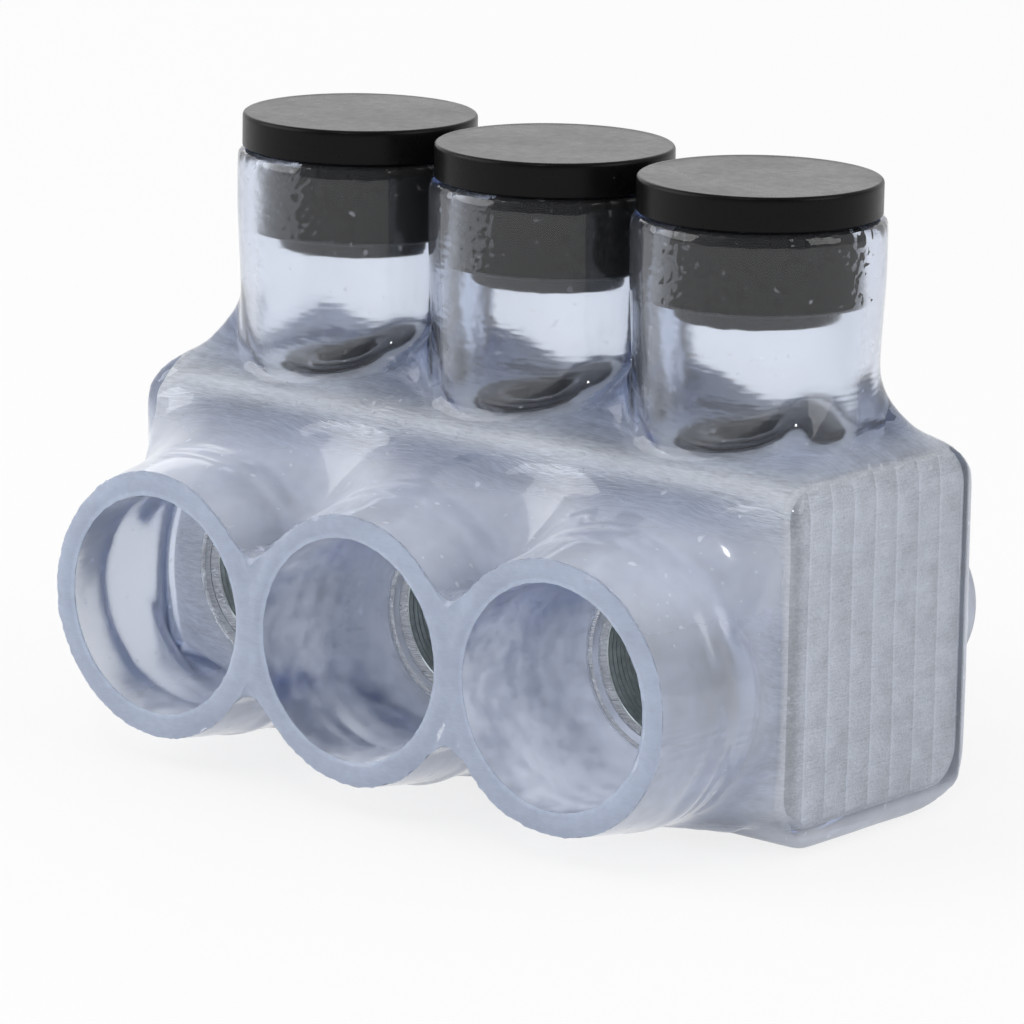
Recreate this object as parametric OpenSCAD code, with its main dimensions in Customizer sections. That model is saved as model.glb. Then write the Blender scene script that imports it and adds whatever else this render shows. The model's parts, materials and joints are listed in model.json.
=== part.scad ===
// Insulated multi-tap connector: a plated aluminium bar with a row of wire bores and set screws, coated
// in one clear dipped jacket. Sleeves lead the cables in at the front, and a tower over each screw is
// closed by a rubber stopper. X runs along the row of ports, the ports face -Y, and Z = 0 is the
// underside of the jacket. Millimetres.

/* [Metal block] */
// Distance between neighbouring wire bores
port_pitch = 25.4; // [25:0.1:30]
// Distance from the outer wire bores' axes to the sawn ends of the block
end_margin = 14.6; // [13:0.1:20]
// Depth of the block, front to back
block_depth = 26.8; // [25:0.1:32]
// Height of the block
block_height = 33; // [29:0.1:38]
// Radius of the block's long edges
block_edge_r = 3.6; // [1:0.1:5]
// Diameter of the wire bores
wire_bore_d = 15.2; // [10:0.1:17]
// Height of the wire bores' axes above the block's underside
bore_height = 13.65; // [12:0.05:15]
// Width of the countersink round the mouth of each wire bore
bore_chamfer = 1.3; // [0.5:0.1:2]

/* [Set screws] */
// Diameter of the set screws
screw_d = 14.6; // [10:0.1:16]
// Running clearance of a screw in its hole, on the radius
screw_clearance = 0.05; // [0.02:0.01:0.1]
// Length of the set screws
screw_length = 12.7; // [10:0.1:16]
// Gap between the raised screw and the crown of the wire bore
screw_lift = 0.4; // [0.1:0.1:1]
// Width of the bevels at both ends of a screw
screw_bevel = 0.8; // [0.3:0.1:1.2]
// Width of the hexagon socket, across its flats
socket_width = 7.94; // [5:0.01:9]
// Depth of the hexagon socket
socket_depth = 7; // [4:0.1:9]

/* [Jacket] */
// Thickness of the coat on the block's front, back and ends
side_coat = 1.6; // [1.2:0.1:2.5]
// Thickness of the coat under the block, where the dip drains
under_coat = 2.9; // [2:0.1:4]
// Thickness of the coat over the block's top
top_coat = 2.2; // [1.8:0.1:3]
// How much rounder the coat's long edges are than an even coat would make them
edge_draw = 2.6; // [0:0.1:2.8]
// Radius of the coat's vertical corners
coat_corner_r = 2.1; // [1:0.1:3.5]
// Radius of the coat over the sawn ends' upper edges
coat_end_r = 5; // [2:0.1:5.2]
// Radius of the coat over the sawn ends' lower edges
coat_foot_r = 3.5; // [1:0.1:5.2]

/* [Screw towers] */
// Inner diameter of a tower
tower_bore_d = 20.4; // [18:0.1:21]
// Height of a tower's rim above the block's top
tower_height = 22.7; // [18:0.1:30]
// Wall of a tower at its foot
tower_wall = 1.7; // [1.2:0.1:2]
// Wall of a tower at its rim
rim_wall = 2.1; // [1.2:0.1:2.2]
// Radius of the flare at a tower's foot
tower_flare_r = 6; // [4:0.1:7]
// Radius of the rounding by which a tower's foot runs out over the coat's corners
tower_foot_r = 7; // [6:0.1:8]
// Radius of the hollow where a tower's foot turns down over the coat's edge at a sawn end
shoulder_r = 3; // [2:0.1:4]
// Radius of the hollow by which the feet turn down to the coat's front and back edges
saddle_r = 9; // [7:0.1:11]
// Width that a tower's foot keeps at the top of its flare, front to back
saddle_width = 12.8; // [10:0.1:16]
// Width of the web between neighbouring towers, front to back
web_width = 5; // [2:0.1:8]
// Distance from the rim down to the top of the web
web_drop = 3; // [1:0.1:10]

/* [Cable sleeves] */
// Inner diameter of a sleeve
sleeve_bore_d = 21.8; // [20:0.1:22.4]
// Length of a sleeve from the block's front to its cut rim
sleeve_length = 16.6; // [10:0.1:24]
// Wall of a sleeve at its cut rim
sleeve_wall = 2.3; // [1.6:0.1:2.6]
// How much a sleeve's radius grows from its cut rim to its collar
sleeve_growth = 1.1; // [0.3:0.1:1.4]
// Height of the collar's step on the outside of a sleeve
collar_step = 0.5; // [0.2:0.1:0.8]
// Distance from the cut rim back to the collar
collar_setback = 6.3; // [3:0.1:8]
// Radius of the hollows above and below the web between neighbouring sleeves
sleeve_web_r = 4; // [2.5:0.1:6]
// Radius of the flare where a sleeve meets the coat
sleeve_flare_r = 3; // [1:0.1:4]
// Radius of the sweep by which the coat's front swells towards the upper halves of the sleeves
swell_r = 7.6; // [4:0.1:9]
// Slope at which that swelling leaves the coat's upper edge, in degrees
swell_slope = 35; // [25:1:45]

/* [Closed rear ends] */
// Length of the closed dome behind a wire bore, from the block's back
dome_length = 14.3; // [8:0.1:20]
// Wall of the dome
dome_wall = 1.6; // [1:0.1:2.2]
// Radius round the dome's closed end
dome_end_r = 4.4; // [2.5:0.1:6]
// Radius of the flare at the dome's foot
dome_flare_r = 2.5; // [1:0.1:3]

/* [Screw caps] */
// Diameter of a cap's head
cap_d = 23.6; // [21.4:0.1:24]
// Thickness of a cap's head
cap_thick = 3.5; // [2:0.1:5]
// Rounding of the head's upper edge
cap_edge_r = 0.4; // [0.2:0.1:1]
// Length of the plug that fills the tower's bore
plug_length = 8.2; // [5:0.1:9]
// Clearance of the plug in the tower, on the radius
plug_clearance = 0.05; // [0.02:0.01:0.1]
// Diameter of the narrow tip below the plug
tip_d = 15.8; // [12:0.1:17]
// Length of the narrow tip
tip_length = 1.6; // [1:0.1:3]
// Bevel at the foot of the plug and of its tip
plug_bevel = 0.4; // [0.2:0.1:0.8]

/* [Hidden] */
$fn = 96;

ways = 3;
ports = [0 : ways - 1];
past = 1; // how far a cut runs past the surface that it opens

block_length = (ways - 1) * port_pitch + 2 * end_margin;
block_base_z = under_coat;
block_top_z = block_base_z + block_height;
block_front = block_depth / 2;
port_z = block_base_z + bore_height;

screw_hole_r = screw_d / 2 + screw_clearance;
screw_foot_z = port_z + wire_bore_d / 2 + screw_lift;

body_length = block_length + 2 * side_coat;
body_depth = block_depth + 2 * side_coat;
body_top_z = block_top_z + top_coat;
body_front = body_depth / 2;
body_edge_r = block_edge_r + side_coat + edge_draw;

tower_r = tower_bore_d / 2 + tower_wall;
rim_r = tower_bore_d / 2 + rim_wall;
rim_z = block_top_z + tower_height;
flare_x = tower_r + tower_flare_r;
flare_top_z = body_top_z + tower_flare_r + 0.5; // the flare ends a little above the coat's top
foot_x = tower_r + 1.3;
foot_z = flare_top_z - sqrt(pow(tower_flare_r + tower_foot_r, 2) - pow(flare_x - foot_x, 2));
foot_touch_x = foot_x + (flare_x - foot_x) * tower_foot_r / (tower_flare_r + tower_foot_r);

sleeve_r = sleeve_bore_d / 2 + sleeve_wall;
sleeve_rim = block_front + sleeve_length;
collar_r = sleeve_r + sleeve_growth;
collar_at = sleeve_rim - collar_setback;
floor_gap = 1.9; // the sleeves' roots end this far above the resting face
sleeve_root_r = min(collar_r + collar_step, port_z - floor_gap);

dome_r = wire_bore_d / 2 + dome_wall;
dome_end = block_front + dome_length;

plug_r = tower_bore_d / 2 - plug_clearance;

function port_x(i) = (i - (ways - 1) / 2) * port_pitch;

// Outlines

module rounded_rect(w, h, r) {
    square([w - 2 * r, h], center = true);
    square([w, h - 2 * r], center = true);
    for (x = [-1, 1], y = [-1, 1])
        translate([x * (w / 2 - r), y * (h / 2 - r)]) circle(r);
}

// A rectangle that stands on y = 0, with one radius for its upper corners and one for its lower ones
module standing_rect(w, h, upper_r, lower_r) {
    translate([0, h / 2]) intersection() {
        translate([0, -h / 2]) rounded_rect(w, 2 * h, upper_r);
        translate([0, h / 2]) rounded_rect(w, 2 * h, lower_r);
    }
}

// A quarter of a hollow: what lies between the corner (x, y) and a circle that touches both its sides.
// The corner opens towards +x and +y.
module concave_corner(x, y, r) {
    difference() {
        translate([x - past, y - past]) square([r + past, r + past]);
        translate([x + r, y + r]) circle(r);
    }
}

// Directions

// The outline's x and y become Y and Z, and it is drawn out along X.
module along_x(length) {
    rotate([90, 0, 90]) linear_extrude(length, center = true) children();
}

// The outline's x and y become X and Z, and it is drawn out along Y.
module along_y(length) {
    rotate([90, 0, 0]) linear_extrude(length, center = true) children();
}

module at_port(i) {
    translate([port_x(i), 0, port_z]) rotate([90, 0, 0]) children();
}

module at_tower(i) {
    translate([port_x(i), 0, 0]) children();
}

// Metal block

module block_bar() {
    translate([0, 0, block_base_z + block_height / 2])
        along_x(block_length) rounded_rect(block_depth, block_height, block_edge_r);
}

module wire_bore() {
    cylinder(h = block_depth + 2 * past, d = wire_bore_d, center = true);
    translate([0, 0, block_front - bore_chamfer])
        cylinder(h = bore_chamfer + past, r1 = wire_bore_d / 2, r2 = wire_bore_d / 2 + bore_chamfer + past);
}

module block() {
    color([0.76, 0.77, 0.79]) difference() {
        block_bar();
        for (i = ports) {
            at_port(i) wire_bore();
            at_tower(i) translate([0, 0, port_z])
                cylinder(h = block_top_z - port_z + past, r = screw_hole_r);
        }
    }
}

// Jacket

module jacket_body() {
    intersection() {
        along_x(body_length + 2 * past) standing_rect(body_depth, body_top_z, body_edge_r, body_edge_r);
        along_y(body_depth + 2 * past) standing_rect(body_length, body_top_z, coat_end_r, coat_foot_r);
        linear_extrude(body_top_z + past) rounded_rect(body_length, body_depth, coat_corner_r);
    }
}

module tower() {
    rotate_extrude() polygon([
        [0, block_top_z], [tower_r, block_top_z], [tower_r, flare_top_z],
        [rim_r, rim_z - 2 * web_drop], [rim_r, rim_z - plug_bevel],
        [rim_r - plug_bevel, rim_z], [0, rim_z]]);
}

// The foot of a tower spreads over the block's top in a hollow sweep, then rounds off downwards.
module tower_foot() {
    rotate_extrude() intersection() {
        translate([0, block_top_z - past]) square([flare_x, flare_top_z]);
        union() {
            translate([foot_x, foot_z]) circle(tower_foot_r);
            difference() {
                square([foot_touch_x, flare_top_z]);
                translate([flare_x, flare_top_z]) circle(tower_flare_r);
            }
        }
    }
}

// The outline that a foot keeps inside. It runs just beneath the coat's side at x = half and its edge of
// radius edge_r, then through a hollow of radius hollow_r up to x = neck.
module shoulder_outline(half, edge_r, neck, hollow_r) {
    sink = 0.05;
    edge_x = half - edge_r;
    edge_z = body_top_z - edge_r;
    hollow_x = neck + hollow_r;
    hollow_z = edge_z + sqrt(pow(edge_r - sink + hollow_r, 2) - pow(hollow_x - edge_x, 2));
    touch_x = edge_x + (hollow_x - edge_x) * (edge_r - sink) / (edge_r - sink + hollow_r);
    for (side = [0, 1]) mirror([side, 0]) {
        square([half - sink, edge_z]);
        translate([edge_x, edge_z]) circle(edge_r - sink);
        square([neck, flare_top_z + past]);
        difference() {
            translate([0, edge_z]) square([touch_x, hollow_z - edge_z]);
            translate([hollow_x, hollow_z]) circle(hollow_r);
        }
    }
}

module tower_feet() {
    last_wall = port_x(ways - 1) + tower_r + 0.5;
    intersection() {
        union() for (i = ports) at_tower(i) tower_foot();
        along_x(body_length) shoulder_outline(body_front, body_edge_r, saddle_width / 2, saddle_r);
        along_y(body_depth) shoulder_outline(body_length / 2, coat_end_r, last_wall, shoulder_r);
        linear_extrude(flare_top_z + past) rounded_rect(body_length, body_depth, coat_corner_r);
    }
}

// The narrow web that the dip leaves between two towers
module tower_web() {
    web_half = port_pitch / 2 - tower_r + tower_wall;
    hollow_r = web_width;
    translate([0, 0, block_top_z]) linear_extrude(rim_z - web_drop - block_top_z) difference() {
        square([2 * web_half, web_width], center = true);
        for (side = [-1, 1])
            translate([0, side * (hollow_r + web_width / 2 - 0.4)]) circle(hollow_r);
    }
}

// The web between two sleeves fills the valleys above and below the place where they meet. Its hollows
// run into both sleeves' walls at a narrow angle.
module sleeve_web() {
    reach = sleeve_r + sleeve_web_r;
    touch_z = sqrt(pow(reach, 2) - pow(port_pitch / 2, 2));
    hollow_z = touch_z - 0.2;
    web_half = port_pitch / 2 * sleeve_web_r / reach + 0.3;
    linear_extrude(sleeve_rim - block_front / 2) difference() {
        square([2 * web_half, 2 * hollow_z], center = true);
        for (side = [-1, 1])
            translate([0, side * hollow_z]) circle(sleeve_web_r);
    }
}

module sleeve() {
    rotate_extrude() polygon([
        [0, block_front / 2], [sleeve_root_r, block_front / 2], [sleeve_root_r, collar_at - collar_step],
        [collar_r, collar_at],
        [sleeve_r, sleeve_rim], [0, sleeve_rim]]);
}

module sleeve_flare() {
    rotate_extrude() union() {
        translate([0, block_front / 2]) square([sleeve_root_r, body_front - block_front / 2]);
        concave_corner(sleeve_root_r, body_front, sleeve_flare_r);
    }
}

module sleeve_flares() {
    intersection() {
        union() for (i = ports) at_port(i) sleeve_flare();
        translate([0, 0, floor_gap]) along_y(4 * body_depth)
            standing_rect(body_length - 2 * floor_gap, body_top_z - 2 * floor_gap, coat_end_r, coat_foot_r);
    }
}

// The section of the swelling above the sleeves' axes. It leaves the coat's upper front edge at a slope.
module swell_outline() {
    edge_r = body_edge_r - 0.05;
    top_y = body_front - body_edge_r + edge_r * sin(swell_slope);
    top_z = body_top_z - body_edge_r + edge_r * cos(swell_slope);
    end_y = body_front + swell_r;
    mirror([1, 0]) polygon([
        [block_front / 2, port_z], [end_y, port_z],
        [end_y, top_z - (end_y - top_y) * tan(swell_slope)], [top_y, top_z], [block_front / 2, top_z]]);
}

module swell_ring() {
    sink = 0.05;
    rotate_extrude() difference() {
        translate([0, block_front / 2])
            square([sleeve_root_r + swell_r - sink, body_front + swell_r - sink - block_front / 2]);
        translate([sleeve_root_r + swell_r - sink, body_front + swell_r - sink]) circle(swell_r);
    }
}

module sleeve_swells() {
    length = body_length - 2 * floor_gap;
    intersection() {
        union() for (i = ports) at_port(i) swell_ring();
        along_x(length) swell_outline();
        linear_extrude(body_top_z) rounded_rect(length, 2 * (body_front + swell_r + past), swell_r);
    }
}

module dome_profile(r, end, end_r) {
    square([r, end - end_r]);
    square([r - end_r, end]);
    translate([r - end_r, end - end_r]) circle(end_r);
}

module rear_dome() {
    rotate_extrude() intersection() {
        union() {
            dome_profile(dome_r, dome_end, dome_end_r);
            concave_corner(dome_r, body_front, dome_flare_r);
        }
        translate([0, block_front / 2]) square([body_front + dome_end, dome_end]);
    }
}

module rear_dome_cavity() {
    rotate_extrude() intersection() {
        dome_profile(wire_bore_d / 2, dome_end - dome_wall, dome_end_r - dome_wall);
        translate([0, block_front - past]) square([wire_bore_d, dome_end]);
    }
}

module jacket() {
    color([0.70, 0.76, 0.90, 0.45]) difference() {
        union() {
            jacket_body();
            tower_feet();
            sleeve_flares();
            sleeve_swells();
            for (i = ports) {
                at_tower(i) tower();
                at_port(i) sleeve();
                at_port(i) mirror([0, 0, 1]) rear_dome();
            }
            for (i = [0 : ways - 2]) translate([port_pitch / 2, 0, 0]) {
                at_tower(i) tower_web();
                at_port(i) translate([0, 0, block_front / 2]) sleeve_web();
            }
        }
        block_bar();
        for (i = ports) {
            at_tower(i) translate([0, 0, block_top_z - past])
                cylinder(h = tower_height + 2 * past, d = tower_bore_d);
            at_port(i) translate([0, 0, block_front - past])
                cylinder(h = sleeve_length + 2 * past, d = sleeve_bore_d);
            at_port(i) mirror([0, 0, 1]) rear_dome_cavity();
        }
    }
}

// Set screws

module set_screw(i) {
    color([0.34, 0.35, 0.37]) at_tower(i) translate([0, 0, screw_foot_z]) difference() {
        rotate_extrude() polygon([
            [0, 0], [screw_d / 2 - screw_bevel, 0], [screw_d / 2, screw_bevel],
            [screw_d / 2, screw_length - screw_bevel / 2],
            [screw_d / 2 - screw_bevel / 2, screw_length], [0, screw_length]]);
        translate([0, 0, screw_length - socket_depth])
            cylinder(h = socket_depth + past, d = socket_width / cos(30), $fn = 6);
    }
}

// Screw caps

module cap_head() {
    rotate_extrude() union() {
        square([cap_d / 2, cap_thick - cap_edge_r]);
        square([cap_d / 2 - cap_edge_r, cap_thick]);
        translate([cap_d / 2 - cap_edge_r, cap_thick - cap_edge_r]) circle(cap_edge_r);
    }
}

module cap_plug() {
    rotate_extrude() polygon([
        [0, cap_thick / 2], [plug_r, cap_thick / 2], [plug_r, plug_bevel - plug_length],
        [plug_r - plug_bevel, -plug_length],
        [tip_d / 2, -plug_length], [tip_d / 2, plug_bevel - plug_length - tip_length],
        [tip_d / 2 - plug_bevel, -plug_length - tip_length], [0, -plug_length - tip_length]]);
}

module screw_cap(i) {
    color([0.10, 0.10, 0.105]) at_tower(i) translate([0, 0, rim_z]) union() {
        cap_head();
        cap_plug();
    }
}

block();
jacket();
set_screw(0);  // set_screw_1
set_screw(1);  // set_screw_2
set_screw(2);  // set_screw_3
screw_cap(0);  // screw_cap_1
screw_cap(1);  // screw_cap_2
screw_cap(2);  // screw_cap_3
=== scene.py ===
import json
import math

import bmesh
import bpy
from bpy.props import FloatProperty, FloatVectorProperty, PointerProperty
from mathutils import Matrix, Vector, noise


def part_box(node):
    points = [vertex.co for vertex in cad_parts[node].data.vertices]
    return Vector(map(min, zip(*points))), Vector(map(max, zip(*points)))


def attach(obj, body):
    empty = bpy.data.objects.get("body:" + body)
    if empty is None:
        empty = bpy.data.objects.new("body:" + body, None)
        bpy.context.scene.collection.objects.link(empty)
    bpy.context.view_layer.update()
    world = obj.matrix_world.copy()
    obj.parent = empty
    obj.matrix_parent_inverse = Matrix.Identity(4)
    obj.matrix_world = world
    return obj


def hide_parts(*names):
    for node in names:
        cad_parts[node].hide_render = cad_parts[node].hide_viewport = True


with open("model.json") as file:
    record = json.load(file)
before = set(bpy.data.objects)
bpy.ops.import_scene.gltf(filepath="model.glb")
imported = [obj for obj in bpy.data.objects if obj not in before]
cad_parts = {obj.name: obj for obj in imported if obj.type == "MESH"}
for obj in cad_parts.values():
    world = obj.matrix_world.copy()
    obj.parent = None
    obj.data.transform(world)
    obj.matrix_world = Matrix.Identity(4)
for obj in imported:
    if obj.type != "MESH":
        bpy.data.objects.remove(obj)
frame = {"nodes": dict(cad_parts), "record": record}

bl_info = {
    "name": "Insulated multi-tap wire connector",
    "version": (1, 0, 0),
    "blender": (4, 5, 0),
    "location": "3D View > Sidebar > Connector",
    "description": "Dresses the packed connector: clear jacket, metal block, set screws and rubber caps",
    "category": "Object",
}

MM = 0.001
RECORD = frame["record"]
MOUNTS = {m["name"]: m for m in RECORD["mounts"]}
PORTS = sorted(MOUNTS[n]["pos_m"][0] / MM for n in MOUNTS if n.startswith("wire_bore_"))
PORT_Z = MOUNTS["wire_bore_1"]["pos_m"][2] / MM
BLOCK_LO, BLOCK_HI = (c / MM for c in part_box("block"))
JACKET_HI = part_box("jacket")[1] / MM
SCREW_LO, SCREW_HI = (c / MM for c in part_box("set_screw_1"))
CAP_LO, CAP_HI = (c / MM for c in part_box("screw_cap_1"))
COAT_FRONT = -BLOCK_LO.y + 1.6
COAT_TOP = BLOCK_HI.z + 2.2
COAT_EDGE = 7.8      # rounding of the coat's front edges
CUT_PLANE = -29.66     # behind this place along Y the jacket is whole, before it come the cut faces
SLEEVE_OUT = 13.2      # outer radius of a sleeve at its mouth


# ---------------------------------------------------------------- settings

def length(name, value, description):
    """A size in metres."""
    return FloatProperty(name=name, default=value, min=0.0, unit="LENGTH",
                         precision=5, description=description)


def colour(name, value, description):
    """A colour of a finish."""
    return FloatVectorProperty(name=name, default=value, size=3, min=0.0, max=1.0,
                               subtype="COLOR", description=description)


class JacketSizes(bpy.types.PropertyGroup):
    """Sizes of the clear vinyl jacket."""
    sleeve_bore: length("Sleeve bore", 0.0109, "Radius of the hole that takes a cable's insulation")
    tower_bore: length("Tower bore", 0.0102, "Radius of the hole that takes a cap's plug")
    grain: length("Mesh grain", 0.0006, "Edge length of the skin's mesh")
    knife_wander: length("Knife wander", 0.00022, "How far the cut of a sleeve's mouth leaves its plane")
    crease_depth: length("Crease depth", 0.00035, "Depth of the two creases round each sleeve")
    drape_depth: length("Drape depth", 0.00028, "Height of the slow waves that the melt left")


class MetalSizes(bpy.types.PropertyGroup):
    """Sizes of the block and of the set screws."""
    bore: length("Wire bore", 0.0076, "Radius of the bore that takes a stripped conductor")
    ridge_pitch: length("Ridge pitch", 0.0006, "Distance between the tool marks in a wire bore")
    ridge_depth: length("Ridge depth", 0.00012, "Depth of the tool marks in a wire bore")
    thread_pitch: length("Thread pitch", 0.0014, "Distance between two turns of the screw thread")
    thread_depth: length("Thread depth", 0.0006, "Depth of the screw thread")
    socket_width: length("Hex socket", 0.00794, "Width across the flats of a set screw's socket")


class FinishColours(bpy.types.PropertyGroup):
    """Colours of the finishes."""
    vinyl: colour("Vinyl", (0.95, 0.97, 1.0), "Surface tint of the clear vinyl")
    vinyl_depth: colour("Vinyl depth", (0.30, 0.43, 0.72), "Colour that thick vinyl turns light to")
    milk: colour("Milk", (0.82, 0.86, 0.95), "Cloudiness of thick vinyl")
    tin: colour("Tin plate", (0.80, 0.81, 0.82), "Plated aluminium of the block")
    bore: colour("Bore", (0.55, 0.59, 0.57), "Inside of a wire bore")
    steel: colour("Steel", (0.085, 0.085, 0.09), "Set screws")
    rubber: colour("Rubber", (0.004, 0.004, 0.004), "Screw caps")
    cut_vinyl: colour("Cut vinyl", (0.57, 0.65, 0.83), "Faces where the knife went through the vinyl")


class StageSettings(bpy.types.PropertyGroup):
    """Light and floor of the stage."""
    softbox_power: FloatProperty(name="Softbox power", default=2.6, min=0.0, unit="POWER",
                                 description="Power of the softbox above the object")
    right_power: FloatProperty(name="Right softbox power", default=0.9, min=0.0, unit="POWER",
                               description="Power of the softbox on the right")
    back_power: FloatProperty(name="Back softbox power", default=0.33, min=0.0, unit="POWER",
                              description="Power of the softbox behind the object")
    spark_power: FloatProperty(name="Spark power", default=0.6, min=0.0, unit="POWER",
                               description="Power of the small lamp that gives the sharp highlights")
    fill_strength: FloatProperty(name="Fill", default=0.72, min=0.0,
                                 description="Strength of the light from all round")
    room: FloatProperty(name="Room", default=1.0, min=0.0,
                        description="Brightness of the room's pale walls in reflections")
    dark_side: FloatProperty(name="Dark side", default=0.10, min=0.0,
                             description="Brightness of the room behind the camera in reflections")
    floor_whiteness: FloatProperty(name="Floor whiteness", default=0.8, min=0.0, max=1.0,
                                   description="Share of the floor that shows plain white")
    floor: colour("Floor", (0.88, 0.88, 0.88), "Colour of the floor")


# ---------------------------------------------------------------- mesh helpers

def new_piece(name, bm):
    """Makes an object from a bmesh in millimetres and frees the bmesh."""
    mesh = bpy.data.meshes.new(name)
    bm.to_mesh(mesh)
    bm.free()
    piece = bpy.data.objects.new(name, mesh)
    bpy.context.scene.collection.objects.link(piece)
    return piece


def bake_modifiers(piece):
    """Applies a piece's modifiers to its mesh."""
    graph = bpy.context.evaluated_depsgraph_get()
    old = piece.data
    piece.data = bpy.data.meshes.new_from_object(piece.evaluated_get(graph))
    piece.modifiers.clear()
    name = old.name
    bpy.data.meshes.remove(old)
    piece.data.name = name


def drop(*objects):
    """Removes working objects and their meshes."""
    for o in objects:
        mesh = o.data
        bpy.data.objects.remove(o)
        bpy.data.meshes.remove(mesh)


def cut_away(piece, *cutters, solver="EXACT"):
    """Subtracts each cutter from the piece."""
    for cutter in cutters:
        cut = piece.modifiers.new("cut", "BOOLEAN")
        cut.operation = "DIFFERENCE"
        cut.object = cutter
        cut.solver = solver
        bake_modifiers(piece)
    drop(*cutters)


def lathe(profile, segments=96):
    """A closed bmesh turned about Z from (radius, height) points, the ends on the axis."""
    bm = bmesh.new()
    ring = [bm.verts.new((r, 0.0, h)) for r, h in profile]
    edges = [bm.edges.new(pair) for pair in zip(ring, ring[1:])]
    bmesh.ops.spin(bm, geom=ring + edges, cent=(0, 0, 0), axis=(0, 0, 1), dvec=(0, 0, 0),
                   angle=math.tau, steps=segments, use_merge=True, use_normal_flip=False,
                   use_duplicate=False)
    bmesh.ops.remove_doubles(bm, verts=bm.verts, dist=1e-4)
    bmesh.ops.recalc_face_normals(bm, faces=bm.faces)
    return bm


def to_port(x, z=None):
    """Turns a lathe's +Z to the part's +Y and sets it at a port."""
    return Matrix.Translation((x, 0.0, PORT_Z if z is None else z)) @ Matrix.Rotation(-math.pi / 2, 4, "X")


def rod(radius, low, high, place, segments=64):
    """A plain working cylinder."""
    bm = lathe([(0, low), (radius, low), (radius, high), (0, high)], segments)
    bmesh.ops.transform(bm, matrix=place, verts=bm.verts)
    return bm


def bar(low, high, long_radius, end_radius, segments=8):
    """A box with rounded edges along X, and a rounding round its two ends."""
    bm = bmesh.new()
    bmesh.ops.create_cube(bm, size=1.0)
    size = Vector(high) - Vector(low)
    middle = (Vector(high) + Vector(low)) / 2
    bmesh.ops.scale(bm, vec=size, verts=bm.verts)
    bmesh.ops.translate(bm, vec=middle, verts=bm.verts)
    along = [e for e in bm.edges if abs(e.verts[0].co.x - e.verts[1].co.x) > size.x / 2]
    bmesh.ops.bevel(bm, geom=along, offset=long_radius, offset_type="OFFSET", affect="EDGES",
                    segments=segments, profile=0.5, material=-1, clamp_overlap=True)
    loops = [e for e in bm.edges if abs(e.verts[0].co.x - e.verts[1].co.x) < 1e-5]
    bmesh.ops.bevel(bm, geom=loops, offset=end_radius, offset_type="OFFSET", affect="EDGES",
                    segments=5, profile=0.5, material=-1, clamp_overlap=False)
    return bm


def arc(centre, radius, start, end, steps):
    """Points of a profile's rounding, in degrees."""
    turns = [math.radians(start + (end - start) * i / steps) for i in range(steps + 1)]
    return [(centre[0] + radius * math.cos(t), centre[1] + radius * math.sin(t)) for t in turns]


def rows(profile, step):
    """Adds points to a profile so that none is further than step from the next."""
    out = [profile[0]]
    for (r0, h0), (r1, h1) in zip(profile, profile[1:]):
        n = max(1, math.ceil(math.hypot(r1 - r0, h1 - h0) / step))
        out += [(r0 + (r1 - r0) * i / n, h0 + (h1 - h0) * i / n) for i in range(1, n + 1)]
    return out


def smoothstep(low, high, v):
    """0 below low, 1 above high, smooth between."""
    t = min(1.0, max(0.0, (v - low) / (high - low)))
    return t * t * (3 - 2 * t)


def finish_piece(piece, body, nodes, finishes, angle=35):
    """Brings a piece from millimetres to metres, smooths it, gives it its materials and puts it on its body."""
    piece.data.transform(Matrix.Scale(MM, 4))
    piece.data.materials.clear()
    for name in finishes:
        piece.data.materials.append(bpy.data.materials[name])
    piece.data.update()
    for p in piece.data.polygons:
        p.use_smooth = True
    piece.data.set_sharp_from_angle(angle=math.radians(angle))
    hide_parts(*nodes)
    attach(piece, body)


# ---------------------------------------------------------------- jacket

def sculpt_skin(skin, sizes):
    """Moves the skin's vertices: creases round the sleeves and the slow waves of the melt."""
    crease = sizes.crease_depth / MM
    drape = sizes.drape_depth / MM
    bm = bmesh.new()
    bm.from_mesh(skin.data)
    bm.normal_update()
    moves = []
    for v in bm.verts:
        p, n = v.co, v.normal
        x = min(PORTS, key=lambda c: abs(c - p.x))
        sleeve = 1.0 - smoothstep(-21.5, -17.5, p.y)
        d = 0.0
        if sleeve > 0.0:
            turn = math.atan2(p.z - PORT_Z, p.x - x)
            wander = 0.5 * noise.noise(Vector((math.cos(turn), math.sin(turn), x)) * 1.7)
            depth = 0.7 + 0.5 * noise.noise(Vector((math.cos(turn) + 7, math.sin(turn), x)) * 1.3)
            depth *= smoothstep(-36.0, -29.0, p.x)
            for y, share in ((-23.3, 1.0), (-20.2, 0.6)):
                d -= crease * share * depth * math.exp(-((p.y - y - wander) / 0.9) ** 2)
        wave = noise.noise(Vector((p.x * 0.07, p.y * 0.13, p.z * 0.10)) + Vector((3.1, 0.7, 5.3)))
        fine = noise.noise(Vector((p.x, p.y, p.z)) * 0.22)
        tower = smoothstep(34.0, 40.0, p.z)
        front = 1.0 - smoothstep(-15.5, -12.0, p.y)
        d += drape * (wave + 0.3 * fine) * (0.25 + 0.75 * front) * (1.0 - 0.85 * tower)
        moves.append(n * d)
    for v, move in zip(bm.verts, moves):
        v.co += move
        v.co.z = max(v.co.z, 0.0)
    bm.to_mesh(skin.data)
    bm.free()


def coat_front(z):
    """How far the coat's front stands at a height, before the sleeves."""
    flat, edge = -COAT_FRONT, COAT_EDGE
    if z > COAT_TOP - edge:
        return flat + edge - math.sqrt(max(0.0, edge ** 2 - (z - COAT_TOP + edge) ** 2))
    if z < edge:
        return flat + edge - math.sqrt(max(0.0, edge ** 2 - (edge - z) ** 2))
    return flat


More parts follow.
